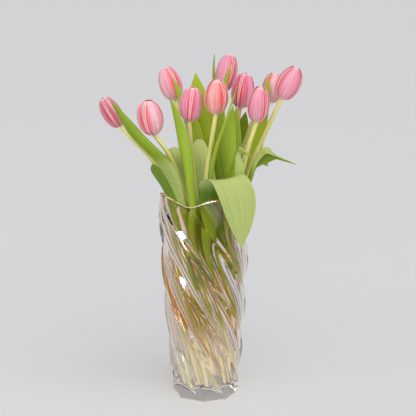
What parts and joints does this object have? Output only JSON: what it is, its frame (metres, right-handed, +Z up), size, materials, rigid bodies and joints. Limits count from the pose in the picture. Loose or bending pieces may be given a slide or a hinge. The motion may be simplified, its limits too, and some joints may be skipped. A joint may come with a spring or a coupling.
{
  "type": "tulips in a glass vase",
  "caption": "Bouquet of closed pink tulips with long green leaves, standing in a tall twisted ribbed glass vase part filled with water.",
  "frame": {"origin": "centre of the vase's flat underside, on the surface it stands on", "axes": "+Z up along the vase, +X to the right seen from the front, +Y away from the viewer"},
  "size_m": [0.2468, 0.1412, 0.429],
  "materials": {
    "vase_glass": "polished",
    "water": "polished",
    "stem": "satin",
    "leaf": "satin",
    "petal": "satin"
  },
  "bodies": {
    "root": {"vase": "vase_glass", "water": "water", "stem_01": "stem", "stem_02": "stem", "stem_03": "stem", "stem_04": "stem", "stem_05": "stem", "stem_06": "stem", "stem_07": "stem", "stem_08": "stem", "stem_09": "stem", "stem_10": "stem", "bloom_01": "petal", "bloom_02": "petal", "bloom_03": "petal", "bloom_04": "petal", "bloom_05": "petal", "bloom_06": "petal", "bloom_07": "petal", "bloom_08": "petal", "bloom_09": "petal", "bloom_10": "petal", "leaf_left_long": "leaf", "leaf_left_low": "leaf", "leaf_front_long": "leaf", "leaf_back_pointed": "leaf", "leaf_back_left": "leaf", "leaf_middle_arch": "leaf", "leaf_back_wide": "leaf", "leaf_back_blade": "leaf", "leaf_right_blade": "leaf", "leaf_right_front": "leaf", "leaf_right_pale": "leaf", "leaf_narrow_front": "leaf", "leaf_drooping": "leaf", "leaf_small_curl": "leaf", "leaf_right_curl": "leaf", "leaf_right_tall": "leaf", "leaf_right_back": "leaf"}
  },
  "joints": []
}
